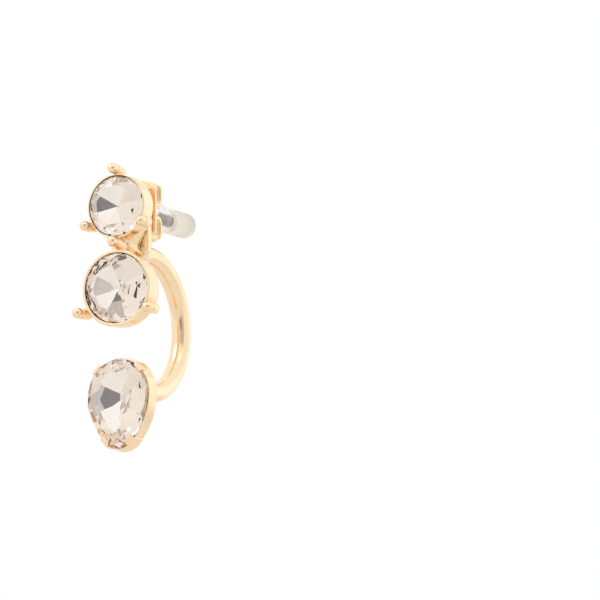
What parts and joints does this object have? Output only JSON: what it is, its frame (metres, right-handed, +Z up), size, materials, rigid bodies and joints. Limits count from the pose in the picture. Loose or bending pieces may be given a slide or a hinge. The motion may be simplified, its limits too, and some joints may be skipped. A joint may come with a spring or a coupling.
{
  "type": "ear jacket earring",
  "caption": "Gold-tone ear jacket earring: stud with round cut stones in ball-tipped prongs, and a curved arm behind the lobe that carries a claw-set pear stone, with clutch and sleeve.",
  "frame": {"origin": "on the ear post's axis, at the flat back of the front setting, where the front of the ear lobe lies when the earring is worn", "axes": "+Y back along the post, through the ear lobe; +Z up; +X across. The stones face -Y"},
  "size_m": [0.0082, 0.0141, 0.0261],
  "materials": {
    "gold_plate": "polished pale gold plating over a cast alloy",
    "stone": "clear cut glass with a mirror foil back",
    "post_steel": "bright drawn steel",
    "sleeve_plastic": "soft clear plastic, slightly frosted"
  },
  "bodies": {
    "stud": {"front_setting": "gold_plate", "stone_top": "stone", "stone_middle": "stone", "ear_post": "post_steel"},
    "clutch": {"butterfly_clutch": "gold_plate"},
    "jacket": {"jacket": "gold_plate", "stone_pear": "stone"},
    "sleeve": {"post_sleeve": "sleeve_plastic"}
  },
  "joints": [
    {"name": "clutch_slide", "type": "slide", "parent": "stud", "child": "clutch", "axis": [0, 1, 0], "range_m": [0, 0.0075]},
    {"name": "jacket_swing", "type": "hinge", "parent": "clutch", "child": "jacket", "pos_m": [0, 0, 0], "axis": [0, 1, 0], "continuous": true},
    {"name": "sleeve_slide", "type": "slide", "parent": "clutch", "child": "sleeve", "axis": [0, 1, 0], "range_m": [0, 0.005]}
  ]
}
